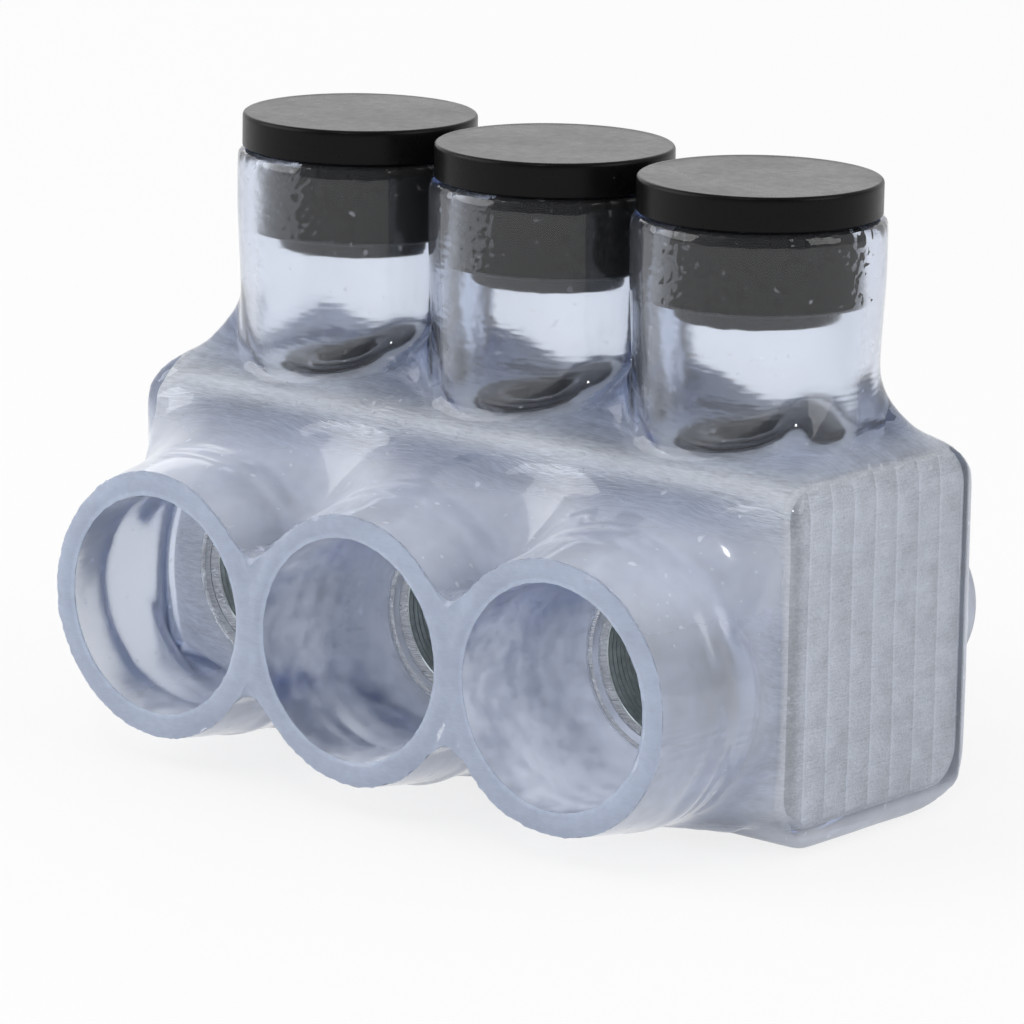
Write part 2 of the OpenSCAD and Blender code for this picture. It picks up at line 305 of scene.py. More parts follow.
def apron():
    """The melt that gathered round the sleeves' roots: a front that swells as it nears them."""
    bm = bmesh.new()
    bmesh.ops.create_grid(bm, x_segments=110, y_segments=52, size=0.5)
    for v in bm.verts:
        x, z = v.co.x * 79.0, 1.2 + (v.co.y + 0.5) * 36.4
        reach, total = 2.2, 0.0
        for port in PORTS:
            gap = math.hypot(x - port, z - PORT_Z) - 14.3
            total += math.exp(-gap / reach)
        gap = -reach * math.log(total)
        above = smoothstep(-4.0, 12.0, z - PORT_Z)
        swell = 3.2 + 4.4 * above
        if gap < 0.0:
            rise = swell
        elif gap < swell:
            rise = swell - math.sqrt(swell ** 2 - (swell - gap) ** 2)
        else:
            rise = 0.0
        v.co = Vector((x, coat_front(z) + 0.05 - rise, z))
    back = bmesh.ops.extrude_face_region(bm, geom=bm.faces[:])
    for g in back["geom"]:
        if isinstance(g, bmesh.types.BMVert):
            g.co.y = -5.0
    bmesh.ops.recalc_face_normals(bm, faces=bm.faces)
    return new_piece("apron", bm)


def jacket_skin(sizes):
    """The jacket's outside as one solid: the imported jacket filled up, meshed evenly and sculpted."""
    bm = bmesh.new()
    bm.from_mesh(frame["nodes"]["jacket"].data)
    bmesh.ops.scale(bm, vec=(1 / MM,) * 3, verts=bm.verts)
    bmesh.ops.remove_doubles(bm, verts=bm.verts, dist=1e-3)
    parts = [new_piece("skin", bm)]
    swell = Vector((0.2, 0.2, 0.2))
    parts.append(new_piece("fill", bar(BLOCK_LO - swell, BLOCK_HI + swell, 3.6, 0.5)))
    parts.append(apron())
    for x in PORTS:
        parts.append(new_piece("fill", rod(11.6, -29.9, -13.0, to_port(x))))
        parts.append(new_piece("fill", rod(13.15, -33.0, -29.5, to_port(x))))
        parts.append(new_piece("fill", rod(7.9, 12.0, 26.0, to_port(x))))
        parts.append(new_piece("fill", rod(11.2, 34.0, JACKET_HI.z, Matrix.Translation((x, 0, 0)))))
    skin = parts[0]
    joined = bmesh.new()
    for part in parts:
        joined.from_mesh(part.data)
    joined.to_mesh(skin.data)
    joined.free()
    drop(*parts[1:])
    net = skin.modifiers.new("net", "REMESH")
    net.mode = "VOXEL"
    net.voxel_size = sizes.grain / MM
    net.adaptivity = 0.0
    bake_modifiers(skin)
    soft = skin.modifiers.new("soft", "SMOOTH")
    soft.factor = 0.5
    soft.iterations = 9
    bake_modifiers(skin)
    feet = skin.vertex_groups.new(name="feet")
    for v in skin.data.vertices:
        weight = smoothstep(36.0, 38.5, v.co.z) * (1 - smoothstep(41.0, 46.0, v.co.z))
        if weight > 0.0:
            feet.add([v.index], weight, "REPLACE")
    soft = skin.modifiers.new("soft feet", "SMOOTH")
    soft.factor = 0.5
    soft.iterations = 28
    soft.vertex_group = "feet"
    bake_modifiers(skin)
    skin.vertex_groups.clear()
    sculpt_skin(skin, sizes)
    return skin


def knife(sizes):
    """A slab in front of the sleeves whose near face wanders like a hand-held cut."""
    bm = bmesh.new()
    bmesh.ops.create_grid(bm, x_segments=150, y_segments=60, size=0.5)
    bmesh.ops.scale(bm, vec=(96.0, 40.0, 1.0), verts=bm.verts)
    upright = Matrix.Translation((0, -30.0, PORT_Z)) @ Matrix.Rotation(math.pi / 2, 4, "X")
    bmesh.ops.transform(bm, matrix=upright, verts=bm.verts)
    for v in bm.verts:
        slow = noise.noise(Vector((v.co.x * 0.12, 4.0, v.co.z * 0.12)))
        fast = noise.noise(Vector((v.co.x * 0.55, 9.0, v.co.z * 0.55)))
        v.co.y += sizes.knife_wander / MM * (slow + 0.35 * fast)
    front = bmesh.ops.extrude_face_region(bm, geom=bm.faces[:])
    far = [g for g in front["geom"] if isinstance(g, bmesh.types.BMVert)]
    for v in far:
        v.co.y = -36.0
    bmesh.ops.recalc_face_normals(bm, faces=bm.faces)
    return new_piece("knife", bm)


def rippled(bm, reach, scale, seed):
    """Lets a turned surface wander outwards a little, away from its axis at the origin."""
    for v in bm.verts:
        out = Vector((v.co.x, v.co.y, 0.0))
        if out.length > 1.0:
            push = 0.5 + 0.5 * noise.noise(v.co * scale + Vector((seed, 0, 0)))
            v.co += out.normalized() * reach * push
    return bm


def port_cutter(x, sizes, seed):
    """The hole of a port, from the mouth of its sleeve to the closed rear end."""
    bore = sizes.sleeve_bore / MM
    profile = [(0, -32.0), (bore + 2.25, -32.0)]
    profile += rows([(bore, -29.75), (bore, -15.5)], 0.8)
    profile += arc((bore - 1.9, -15.5), 1.9, 0, 86, 8)[1:]
    profile += [(9.0, -13.2), (7.9, -13.2), (7.9, 13.2), (7.6, 13.2), (7.6, 23.3)]
    profile += arc((4.8, 23.3), 2.8, 0, 90, 8)[1:] + [(0, 26.1)]
    bm = rippled(lathe(profile, 128), 0.06, 0.16, seed)
    bmesh.ops.transform(bm, matrix=to_port(x), verts=bm.verts)
    return new_piece("port", bm)


def tower_cutter(x, sizes, seed):
    """The hole of a tower, down to the block and through the screw hole."""
    bore = sizes.tower_bore / MM
    profile = [(0, 17.0), (7.65, 17.0), (7.65, 35.7)]
    profile += rows([(bore, 35.7), (bore, 58.3)], 0.8)
    profile += [(bore + 2.2, 60.5), (0, 60.5)]
    bm = rippled(lathe(profile, 128), 0.03, 0.12, seed)
    bmesh.ops.translate(bm, vec=(x, 0, 0), verts=bm.verts)
    return new_piece("tower", bm)


def mouth_slab(front, back):
    """A slab across all three sleeves, between two places along Y."""
    bm = bmesh.new()
    bmesh.ops.create_cube(bm, size=1.0)
    bmesh.ops.scale(bm, vec=(100.0, back - front, 60.0), verts=bm.verts)
    bmesh.ops.translate(bm, vec=(0.0, (back + front) / 2, PORT_Z), verts=bm.verts)
    return bm


def fray(faces, sizes):
    """Leaves small nicks and burrs along the edges of the cut faces."""
    for v in faces.data.vertices:
        x = min(PORTS, key=lambda c: abs(c - v.co.x))
        out = Vector((v.co.x - x, 0.0, v.co.z - PORT_Z))
        inner, outer = abs(out.length - sizes.sleeve_bore / MM - 0.2), abs(out.length - SLEEVE_OUT)
        near = min(inner, outer)
        nick = noise.noise(v.co * 0.9) + 0.7 * noise.noise(v.co * 2.3)
        v.co += out.normalized() * (0.07 if inner < outer else 0.16) * nick * (1.0 - smoothstep(0.3, 0.8, near))
        if v.co.y < -29.8:
            v.co.y += 0.22 * (1.0 - smoothstep(0.1, 0.9, near))


def make_jacket(sizes):
    """The clear moulded jacket."""
    skin = jacket_skin(sizes)
    cutters = [knife(sizes)]
    inset = Vector((0.3, 0.3, 0.3))
    cutters.append(new_piece("core", bar(BLOCK_LO + inset, BLOCK_HI - inset, 3.7, 0.9)))
    for i, x in enumerate(PORTS):
        cutters.append(port_cutter(x, sizes, 11.0 * i))
        cutters.append(tower_cutter(x, sizes, 50.0 + 11.0 * i))
    cut_away(skin, *cutters, solver="MANIFOLD")
    faces = new_piece("sleeve_cut_faces", mouth_slab(-36.0, CUT_PLANE))
    keep = faces.modifiers.new("keep", "BOOLEAN")
    keep.operation, keep.object, keep.solver = "INTERSECT", skin, "MANIFOLD"
    bake_modifiers(faces)
    fray(faces, sizes)
    cut_away(skin, new_piece("mouths", mouth_slab(-36.0, CUT_PLANE + 0.02)), solver="MANIFOLD")
    skin.name = skin.data.name = "clear_jacket"
    finish_piece(skin, "connector", ["jacket"], ["clear_vinyl"], 30)
    finish_piece(faces, "connector", ["jacket"], ["cut_vinyl"], 30)
    return skin


# ---------------------------------------------------------------- block and screws

def wire_bore_cutter(x, sizes):
    """A wire bore with its countersink and the ridges that the drill left."""
    bore, pitch, depth = sizes.bore / MM, sizes.ridge_pitch / MM, sizes.ridge_depth / MM
    front, back = BLOCK_LO.y, BLOCK_HI.y
    start = front + 1.3
    profile = [(0, front - 1.5), (bore + 2.8, front - 1.5), (bore + 0.1, start - 0.1), (bore, start)]
    for i in range(int((back + 1.0 - start) / pitch)):
        profile += [(bore + depth, start + pitch * (i + 0.45)), (bore, start + pitch * (i + 1))]
    profile += [(bore, back + 1.5), (0, back + 1.5)]
    bm = lathe(profile, 120)
    bmesh.ops.transform(bm, matrix=to_port(x), verts=bm.verts)
    return new_piece("bore", bm)


def threaded(bm, radius, low, high, pitch, depth):
    """Moves the wall of a turned cylinder so that a thread winds round it. A depth below 0 cuts inwards."""
    for v in bm.verts:
        r = math.hypot(v.co.x, v.co.y)
        if abs(r - radius) < 0.01 and low < v.co.z < high:
            phase = (v.co.z / pitch + math.atan2(v.co.y, v.co.x) / math.tau) % 1.0
            groove = max(0.0, 1.0 - abs(phase - 0.5) * 2.6)
            ends = smoothstep(low, low + 0.5, v.co.z) * (1 - smoothstep(high - 0.5, high, v.co.z))
            reach = (radius + depth * groove * ends) / r
            v.co.x *= reach
            v.co.y *= reach
    return bm


def screw_hole_cutter(x, sizes):
    """A threaded hole from the block's top into the wire bore."""
    r = SCREW_HI.y + 0.05
    low, high = PORT_Z, BLOCK_HI.z
    profile = [(0, low)] + rows([(r, low), (r, high - 0.5)], 0.2) + [(r + 1.5, high + 1.0), (0, high + 1.0)]
    bm = threaded(lathe(profile, 72), r, low, high - 0.5, sizes.thread_pitch / MM, sizes.thread_depth / MM)
    bmesh.ops.translate(bm, vec=(x, 0, 0), verts=bm.verts)
    return new_piece("hole", bm)


def make_block(sizes):
    """The plated metal bar with its bores and threaded holes."""
    block = new_piece("metal_block", bar(BLOCK_LO, BLOCK_HI, 3.6, 0.7, 10))
    cut_away(block, *[wire_bore_cutter(x, sizes) for x in PORTS],
             *[screw_hole_cutter(x, sizes) for x in PORTS])
    finish_piece(block, "connector", ["block"], ["tin_plate", "dark_bore", "zinc_steel"], 30)
    inside = (sizes.bore + sizes.ridge_depth) * 1.02
    for p in block.data.polygons:
        c = p.center
        x = min(PORTS, key=lambda v: abs(v * MM - c.x)) * MM
        in_bore = math.hypot(c.x - x, c.z - PORT_Z * MM) < inside and BLOCK_LO.y * MM + 0.0011 < c.y
        in_hole = math.hypot(c.x - x, c.y) < 0.0079 and PORT_Z * MM < c.z < BLOCK_HI.z * MM - 0.0002
        p.material_index = 1 if in_bore else 2 if in_hole else 0
    return block


def make_screw(number, x, sizes):
    """A set screw with its thread and hexagon socket."""
    r, low, high = SCREW_HI.y, SCREW_LO.z, SCREW_HI.z
    profile = [(0, low), (r - 0.8, low)] + rows([(r, low + 0.8), (r, high - 0.4)], 0.18)
    profile += [(r - 0.12, high - 0.16), (r - 0.4, high), (5.2, high), (4.75, high - 0.35), (0, high - 0.35)]
    bm = threaded(lathe(profile, 80), r, low + 0.6, high - 0.2,
                  sizes.thread_pitch / MM, -sizes.thread_depth / MM)
    bmesh.ops.translate(bm, vec=(x, 0, 0), verts=bm.verts)
    screw = new_piece(f"socket_screw_{number}", bm)
    corner = sizes.socket_width / MM / 2 / math.cos(math.pi / 6)
    key = lathe([(0, high - 8.2), (corner, high - 7.0), (corner, high + 1.0), (0, high + 1.0)], 6)
    bmesh.ops.rotate(key, cent=(0, 0, 0), matrix=Matrix.Rotation(0.3 * number, 3, "Z"), verts=key.verts)
    bmesh.ops.translate(key, vec=(x, 0, 0), verts=key.verts)
    cut_away(screw, new_piece("key", key))
    finish_piece(screw, f"screw_{number}", [f"set_screw_{number}"], ["zinc_steel"], 30)
    return screw


# ---------------------------------------------------------------- caps

def make_cap(number, x):
    """A rubber stopper: flat head, plug and narrow tip."""
    rim = JACKET_HI.z
    head, plug, tip = CAP_HI.y, 10.18, 7.9
    top, low = CAP_HI.z, CAP_LO.z
    foot = rim - 8.2
    profile = [(0, low)] + rows([(0, low), (tip - 0.4, low)], 1.0)[1:]
    profile += arc((tip - 0.4, low + 0.4), 0.4, -90, 0, 3)[1:] + [(tip, foot)]
    profile += rows([(tip, foot), (plug - 0.4, foot)], 0.6)[1:]
    profile += arc((plug - 0.4, foot + 0.4), 0.4, -90, 0, 3)[1:]
    profile += rows([(plug, foot + 0.4), (plug, rim)], 0.4)[1:]
    profile += [(head - 0.2, rim), (head, rim + 0.2)]
    profile += rows([(head, rim + 0.2), (head, top - 0.4)], 0.35)[1:]
    profile += arc((head - 0.4, top - 0.4), 0.4, 0, 90, 4)[1:]
    profile += [(11.3, top), (11.15, top), (11.0, top)]
    profile += rows([(11.0, top), (0, top)], 0.8)[1:]
    bm = lathe(profile, 160)
    for v in bm.verts:
        r = math.hypot(v.co.x, v.co.y)
        if v.co.z > top - 0.01:
            dimple = noise.noise(v.co * 0.25 + Vector((number * 9, 0, 0)))
            v.co.z -= 0.05 * (1 - smoothstep(11.0, 11.3, r)) + 0.02 * (1 + dimple)
        elif abs(r - plug) < 0.01 and v.co.z < rim - 0.3:
            patch = noise.noise(v.co * 0.16 + Vector((number * 7, 3, 0)))
            fine = noise.noise(v.co * 2.0 + Vector((number * 5, 0, 0)))
            aim = math.radians((-8, -18, -48)[number - 1])
            lean = (math.cos(aim) * v.co.x + math.sin(aim) * v.co.y) / r
            wet = 0.02 * patch + 0.05 * fine + 0.12 * lean - (0.0, 0.0, 0.04)[number - 1]
            v.co.xy *= 1 + max(-0.09, min(0.08, wet)) / plug
        elif r > head - 0.3:
            v.co.xy *= 1 - 0.0025 * (0.5 + 0.5 * noise.noise(v.co * 0.3 + Vector((number * 9, 0, 0))))
    bmesh.ops.translate(bm, vec=(x, 0, 0), verts=bm.verts)
    cap = new_piece(f"rubber_cap_{number}", bm)
    finish_piece(cap, f"cap_{number}", [f"screw_cap_{number}"], ["black_rubber"], 40)
    return cap


# ---------------------------------------------------------------- materials

def new_material(name):
    """A material with its tree and its Principled BSDF."""
    material = bpy.data.materials.new(name)
    material.use_nodes = True
    return material, material.node_tree, material.node_tree.nodes["Principled BSDF"]


def put(node, **values):
    """Sets plain values on a node's sockets. An underscore stands for a space."""
    for name, value in values.items():
        node.inputs[name.replace("_", " ")].default_value = value


def object_point(tree, scale=(1, 1, 1)):
    """Object coordinates, stretched."""
    coordinate = tree.nodes.new("ShaderNodeTexCoord")
    mapping = tree.nodes.new("ShaderNodeMapping")
    put(mapping, Scale=scale)
    tree.links.new(coordinate.outputs["Object"], mapping.inputs["Vector"])
    return mapping.outputs["Vector"]


def axes(tree, point):
    """The X, Y and Z of a point."""
    split = tree.nodes.new("ShaderNodeSeparateXYZ")
    tree.links.new(point, split.inputs["Vector"])
    return split.outputs["X"], split.outputs["Y"], split.outputs["Z"]


def math_node(tree, operation, *values, clamp=False):
    """A Math node between sockets or numbers."""
    node = tree.nodes.new("ShaderNodeMath")
    node.operation = operation
    node.use_clamp = clamp
    for socket, value in zip(node.inputs, values):
        if isinstance(value, (int, float)):
            socket.default_value = value
        else:
            tree.links.new(value, socket)
    return node.outputs[0]


def times(tree, first, *others):
    """The product of masks and numbers."""
    for other in others:
        first = math_node(tree, "MULTIPLY", first, other)
    return first


def plus(tree, first, *others):
    """The sum of masks and numbers."""
    for other in others:
        first = math_node(tree, "ADD", first, other)
    return first


def fade(tree, value, start, end):
    """A smooth mask: 0 at start, 1 at end."""
    node = tree.nodes.new("ShaderNodeMapRange")
    node.interpolation_type = "SMOOTHSTEP"
    put(node, From_Min=start, From_Max=end)
    tree.links.new(value, node.inputs["Value"])
    return node.outputs["Result"]


def group_tree(name, ins, outs):
    """An empty shader group with its sockets."""
    tree = bpy.data.node_groups.new(name, "ShaderNodeTree")
    for label, kind, default in ins:
        socket = tree.interface.new_socket(label, in_out="INPUT", socket_type=kind)
        if default is not None:
            socket.default_value = default
    for label in outs:
        tree.interface.new_socket(label, in_out="OUTPUT", socket_type="NodeSocketFloat")
    return tree, tree.nodes.new("NodeGroupInput"), tree.nodes.new("NodeGroupOutput")


def grain_group():
    """Uneven grain: a slow and a fast noise mixed into one mask."""
    tree, inside, out = group_tree(
        "Grain", [("Vector", "NodeSocketVector", None), ("Scale", "NodeSocketFloat", 200.0),
                  ("Fine share", "NodeSocketFloat", 0.4)], ["Mask"])
    slow = tree.nodes.new("ShaderNodeTexNoise")
    fast = tree.nodes.new("ShaderNodeTexNoise")
    for noise_node in (slow, fast):
        put(noise_node, Detail=1.6)
        tree.links.new(inside.outputs["Vector"], noise_node.inputs["Vector"])
    tree.links.new(inside.outputs["Scale"], slow.inputs["Scale"])
    tree.links.new(times(tree, inside.outputs["Scale"], 9.0), fast.inputs["Scale"])
    mix = tree.nodes.new("ShaderNodeMix")
    tree.links.new(inside.outputs["Fine share"], mix.inputs["Factor"])
    tree.links.new(slow.outputs["Fac"], mix.inputs["A"])
    tree.links.new(fast.outputs["Fac"], mix.inputs["B"])
    tree.links.new(mix.outputs["Result"], out.inputs["Mask"])
    return tree


def specks_group():
    """Sparse round specks: bubbles, dust and pits."""
    tree, inside, out = group_tree(
        "Specks", [("Vector", "NodeSocketVector", None), ("Scale", "NodeSocketFloat", 600.0),
                   ("Share", "NodeSocketFloat", 0.1), ("Size", "NodeSocketFloat", 0.25)], ["Mask"])
    cells = tree.nodes.new("ShaderNodeTexVoronoi")
    tree.links.new(inside.outputs["Vector"], cells.inputs["Vector"])
    tree.links.new(inside.outputs["Scale"], cells.inputs["Scale"])
    split = tree.nodes.new("ShaderNodeSeparateColor")
    tree.links.new(cells.outputs["Color"], split.inputs["Color"])
    chosen = math_node(tree, "LESS_THAN", split.outputs["Red"], inside.outputs["Share"])
    near = tree.nodes.new("ShaderNodeMapRange")
    near.interpolation_type = "SMOOTHSTEP"
    put(near, To_Min=1.0, To_Max=0.0)
    tree.links.new(cells.outputs["Distance"], near.inputs["Value"])
    tree.links.new(times(tree, inside.outputs["Size"], 0.4), near.inputs["From Min"])
    tree.links.new(inside.outputs["Size"], near.inputs["From Max"])
    tree.links.new(times(tree, near.outputs["Result"], chosen), out.inputs["Mask"])
    return tree


def around_ports_group():
    """Distance from the nearest port's axis along Y, and from the nearest tower's axis along Z."""
    tree, inside, out = group_tree("Around ports", [("Vector", "NodeSocketVector", None)],
                                   ["Sleeve", "Tower"])
    x, y, z = axes(tree, inside.outputs["Vector"])
    pitch = (PORTS[1] - PORTS[0]) * MM
    across = math_node(tree, "SUBTRACT", x, pitch / 2)
    across = math_node(tree, "PINGPONG", across, pitch / 2)
    across = math_node(tree, "SUBTRACT", pitch / 2, across)
    height = math_node(tree, "SUBTRACT", z, PORT_Z * MM)
    for name, other in (("Sleeve", height), ("Tower", y)):
        square = plus(tree, times(tree, across, across), times(tree, other, other))
        tree.links.new(math_node(tree, "SQRT", square), out.inputs[name])
    return tree


def use_group(tree, group, vector, **values):
    """Places a shared group in a material and gives its first result."""
    node = tree.nodes.new("ShaderNodeGroup")
    node.node_tree = group
    tree.links.new(vector, node.inputs["Vector"])
    for key, value in values.items():
        node.inputs[key.replace("_", " ").capitalize()].default_value = value
    return node.outputs[0]


def ramp(tree, value, low, high):
    """Two colours or greys across a mask."""
    node = tree.nodes.new("ShaderNodeValToRGB")
    for element, (place, tone) in zip(node.color_ramp.elements, (low, high)):
        element.position = place
        element.color = (*tone, 1.0) if hasattr(tone, "__len__") else (tone, tone, tone, 1.0)
    tree.links.new(value, node.inputs["Fac"])
    return node.outputs["Color"]


def dusted(tree, shader, dust, under, over):
    """Sets the shader's colour: one grey over another colour where the dust lies."""
    base = tree.nodes.new("ShaderNodeMix")
    base.data_type = "RGBA"
    tree.links.new(dust, base.inputs["Factor"])
    tree.links.new(under, base.inputs[6])
    base.inputs[7].default_value = (over, over, over, 1.0)
    tree.links.new(base.outputs[2], shader.inputs["Base Color"])


def bumped(tree, shader, height, strength, distance):
    """Feeds a height to the shader's normal."""
    bump = tree.nodes.new("ShaderNodeBump")
    put(bump, Strength=strength, Distance=distance)
    tree.links.new(height, bump.inputs["Height"])
    tree.links.new(bump.outputs["Normal"], shader.inputs["Normal"])


def shade(c, factor):
    """A colour made darker or lighter."""
    return tuple(min(1.0, v * factor) for v in c)


def mixed_shaders(tree, factor, first, second):
    """A Mix Shader node's result."""
    mix = tree.nodes.new("ShaderNodeMixShader")
    tree.links.new(factor, mix.inputs["Fac"])
    tree.links.new(first, mix.inputs[1])
    tree.links.new(second, mix.inputs[2])
    return mix.outputs["Shader"]


def vinyl_material(colours, grain, near_ports):
    """Clear bluish vinyl: milky and glossy in front, drawn matt in its holes. Lamps shine through it."""
    material, tree, shader = new_material("clear_vinyl")
    point = object_point(tree)
    x, y, z = axes(tree, point)
    haze = use_group(tree, grain, point, scale=60.0, fine_share=0.25)
    foam = tree.nodes.new("ShaderNodeTexNoise")
    put(foam, Scale=1100.0, Detail=0.0)
    tree.links.new(point, foam.inputs["Vector"])
    bubbles = tree.nodes.new("ShaderNodeMapRange")
    put(bubbles, From_Min=0.78, From_Max=0.86)
    tree.links.new(foam.outputs["Fac"], bubbles.inputs["Value"])
    uneven = plus(tree, haze, 0.5)
    streaks = tree.nodes.new("ShaderNodeTexNoise")
    put(streaks, Scale=800.0, Detail=0.0)
    tree.links.new(object_point(tree, (1.0, 0.3, 2.5)), streaks.inputs["Vector"])
    around = tree.nodes.new("ShaderNodeGroup")
    around.node_tree = near_ports
    tree.links.new(point, around.inputs["Vector"])

    # masks: the insides of sleeves and towers, the milky front, and all holes but the first one's far side
    low = math_node(tree, "LESS_THAN", z, BLOCK_HI.z * MM)
    inboard = math_node(tree, "LESS_THAN", math_node(tree, "ABSOLUTE", x), (PORTS[2] + 11.5) * MM)
    in_sleeve = times(tree, math_node(tree, "LESS_THAN", around.outputs["Sleeve"], 0.01105), low, inboard)
    in_tower = times(tree, math_node(tree, "LESS_THAN", around.outputs["Tower"], 0.01035),
                     math_node(tree, "SUBTRACT", 1.0, low))
    front = times(tree, fade(tree, y, -0.0128, -0.0155), fade(tree, z, 0.0345, 0.0300))
    outside = math_node(tree, "SUBTRACT", front, in_sleeve, clamp=True)
    not_far = fade(tree, times(tree, x, -1.0), (PORTS[2] + 6.0) * MM, (PORTS[2] + 2.0) * MM)
    matt = times(tree, in_sleeve, not_far)

    tree.links.new(ramp(tree, haze, (0.35, shade(colours.vinyl, 0.96)), (0.7, tuple(colours.vinyl))),
                   shader.inputs["Base Color"])
    rough = plus(tree, times(tree, matt, 0.24), times(tree, in_sleeve, 0.16), times(tree, outside, 0.18),
                 times(tree, in_tower, 0.13), 0.035)
    tree.links.new(times(tree, rough, uneven), shader.inputs["Roughness"])
    tree.links.new(outside, shader.inputs["Coat Weight"])
    relief = plus(tree, times(tree, math_node(tree, "MAXIMUM", in_sleeve, in_tower), 0.65), 0.15)
    bumped(tree, shader, times(tree, streaks.outputs["Fac"], relief), 0.3, 0.0001)
    put(shader, Coat_Roughness=0.03, IOR=1.50, Transmission_Weight=0.985, Metallic=0.0)

    # how milky: the front and its saddles, patches in the holes, the rear and the underside, bubbles
    share = times(tree, plus(tree, times(tree, fade(tree, z, 0.021, 0.027), 0.2), 0.15), outside)
    patches = times(tree, math_node(tree, "SUBTRACT", haze, 0.38, clamp=True), 3.4)
    share = plus(tree, share, times(tree, matt, patches, 0.9))
    edges = math_node(tree, "MAXIMUM", fade(tree, y, 0.0126, 0.0134), fade(tree, z, 0.0042, 0.0020))
    domes = times(tree, math_node(tree, "GREATER_THAN", y, 0.0158), 0.30)
    share = math_node(tree, "MAXIMUM", share, times(tree, edges, math_node(tree, "SUBTRACT", 0.55, domes)))
    share = times(tree, plus(tree, share, times(tree, bubbles.outputs["Result"], 0.2)), uneven)
    milk = tree.nodes.new("ShaderNodeBsdfDiffuse")
    put(milk, Color=(*colours.milk, 1.0))
    cloudy = mixed_shaders(tree, share, shader.outputs["BSDF"], milk.outputs["BSDF"])

    lamps = tree.nodes.new("ShaderNodeBsdfTransparent")
    put(lamps, Color=(0.96, 0.965, 0.98, 1.0))
    path = tree.nodes.new("ShaderNodeLightPath")
    volume = tree.nodes.new("ShaderNodeVolumeAbsorption")
    put(volume, Color=(*colours.vinyl_depth, 1.0), Density=74.0)
    out = tree.nodes["Material Output"]
    tree.links.new(mixed_shaders(tree, path.outputs["Is Shadow Ray"], cloudy, lamps.outputs["BSDF"]),
                   out.inputs["Surface"])
    tree.links.new(volume.outputs["Volume"], out.inputs["Volume"])
    return material


def cut_material(colours, grain, near_ports):
    """The frosted face that a knife leaves on vinyl, with a painted highlight along its inner edge."""
    material, tree, shader = new_material("cut_vinyl")
    point = object_point(tree)
    cloud = use_group(tree, grain, point, scale=150.0, fine_share=0.5)
    drag = use_group(tree, grain, object_point(tree, (0.4, 1.0, 3.0)), scale=260.0, fine_share=0.5)
    # painted highlight: the cut faces lighter along their inner edge
    painted_lip_highlight = fade(tree, use_group(tree, near_ports, point), 0.01145, 0.01115)
    value = plus(tree, times(tree, cloud, 0.5), times(tree, drag, 0.5), times(tree, painted_lip_highlight, cloud, 0.3))
    tint = ramp(tree, value, (0.36, shade(colours.cut_vinyl, 0.82)), (0.95, shade(colours.cut_vinyl, 1.25)))
    tree.links.new(tint, shader.inputs["Base Color"])
    tree.links.new(ramp(tree, value, (0.35, 0.28), (0.65, 0.48)), shader.inputs["Roughness"])
    bumped(tree, shader, value, 0.5, 0.00015)
    put(shader, Coat_Weight=0.5, Coat_Roughness=0.1, IOR=1.45, Transmission_Weight=0.45, Metallic=0.0)
    return material


